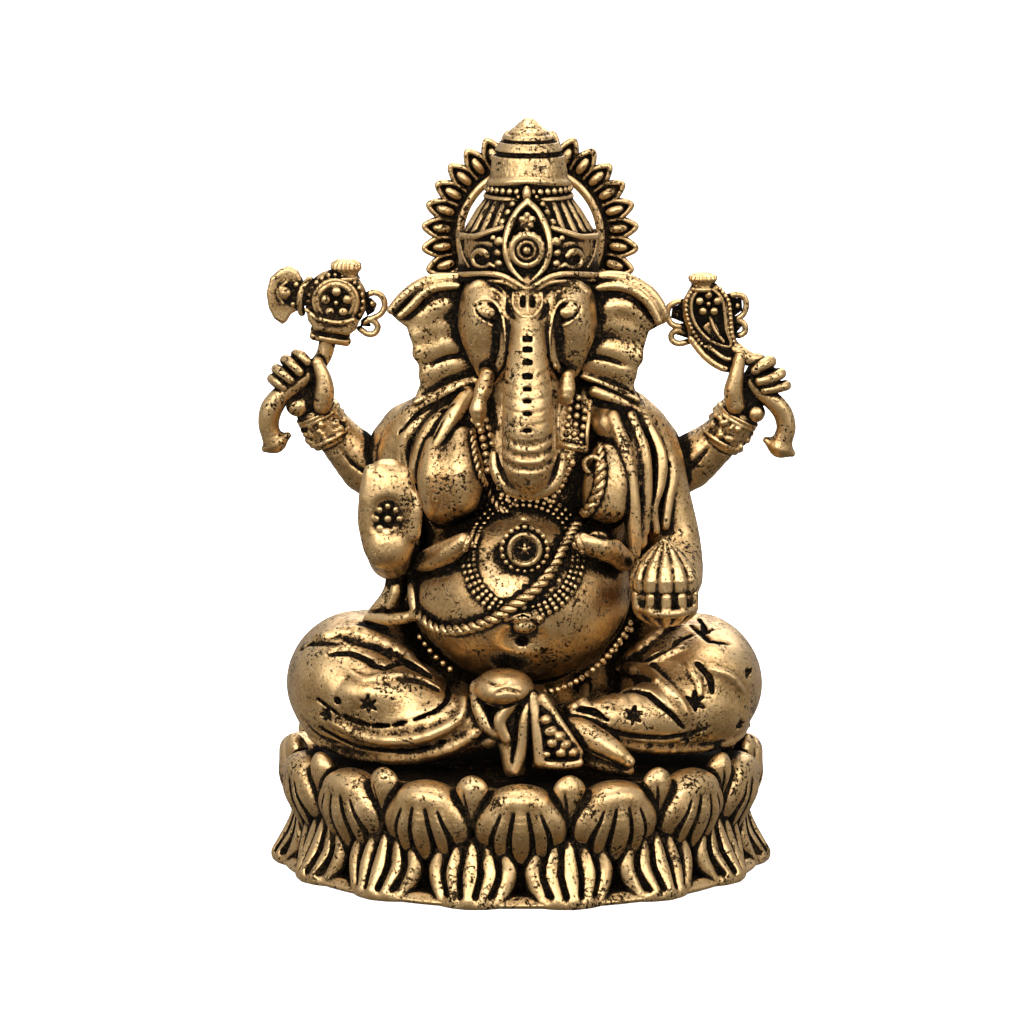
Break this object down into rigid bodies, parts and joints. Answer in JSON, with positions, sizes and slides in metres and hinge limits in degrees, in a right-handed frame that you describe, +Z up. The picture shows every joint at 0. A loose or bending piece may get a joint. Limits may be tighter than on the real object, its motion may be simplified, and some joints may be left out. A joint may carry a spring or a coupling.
{
  "type": "hindu deity statue",
  "caption": "Seated elephant-headed deity figurine with four arms and a rayed halo, on a double lotus seat, in antique gold-plated cast brass.",
  "frame": {"origin": "middle of the underside of the lotus foot", "axes": "+Z up, -Y the front that the figure faces, +X the viewer's right"},
  "size_m": [0.0706, 0.0667, 0.1],
  "materials": {
    "antique_gold": "cast brass with antique gold plate, darkened in the folds",
    "worn_gold": "antique gold plate rubbed bright on raised work",
    "blackened_gold": "black patina left in the recesses"
  },
  "bodies": {
    "root": {"foot_slab": "antique_gold", "lotus_drum": "blackened_gold", "lower_petals": "antique_gold", "upper_petals": "antique_gold", "inner_petals": "antique_gold", "seat_plate": "blackened_gold", "torso": "antique_gold", "belly": "worn_gold", "right_leg": "antique_gold", "left_leg": "antique_gold", "front_sash": "worn_gold", "right_foot": "antique_gold", "left_foot": "antique_gold", "front_right_arm": "antique_gold", "front_right_hand": "worn_gold", "front_left_arm": "antique_gold", "front_left_hand": "worn_gold", "sweet": "worn_gold", "right_shawl": "worn_gold", "right_shawl_end": "worn_gold", "left_shawl": "worn_gold", "rear_right_arm": "antique_gold", "rear_right_bracelet": "worn_gold", "rear_right_hand": "worn_gold", "axe_handle": "antique_gold", "axe_boss": "worn_gold", "axe_blade": "antique_gold", "axe_knob": "worn_gold", "axe_scroll": "antique_gold", "rear_left_arm": "antique_gold", "rear_left_bracelet": "worn_gold", "rear_left_hand": "worn_gold", "noose_handle": "antique_gold", "noose_plate": "worn_gold", "noose_knob": "worn_gold", "noose_scrolls": "antique_gold", "head": "antique_gold", "right_ear": "antique_gold", "left_ear": "antique_gold", "trunk": "worn_gold", "tusks": "worn_gold", "crown_band": "antique_gold", "crown_dome": "blackened_gold", "crown_beads": "worn_gold", "crown_cap": "antique_gold", "crown_finial": "worn_gold", "crown_crest": "worn_gold", "halo_ring": "antique_gold", "halo_rays": "worn_gold", "neck_strands": "worn_gold", "necklace": "worn_gold", "medallion": "worn_gold", "garland": "worn_gold", "pendant": "worn_gold", "sacred_thread": "antique_gold", "waist_beads": "worn_gold"}
  },
  "joints": []
}
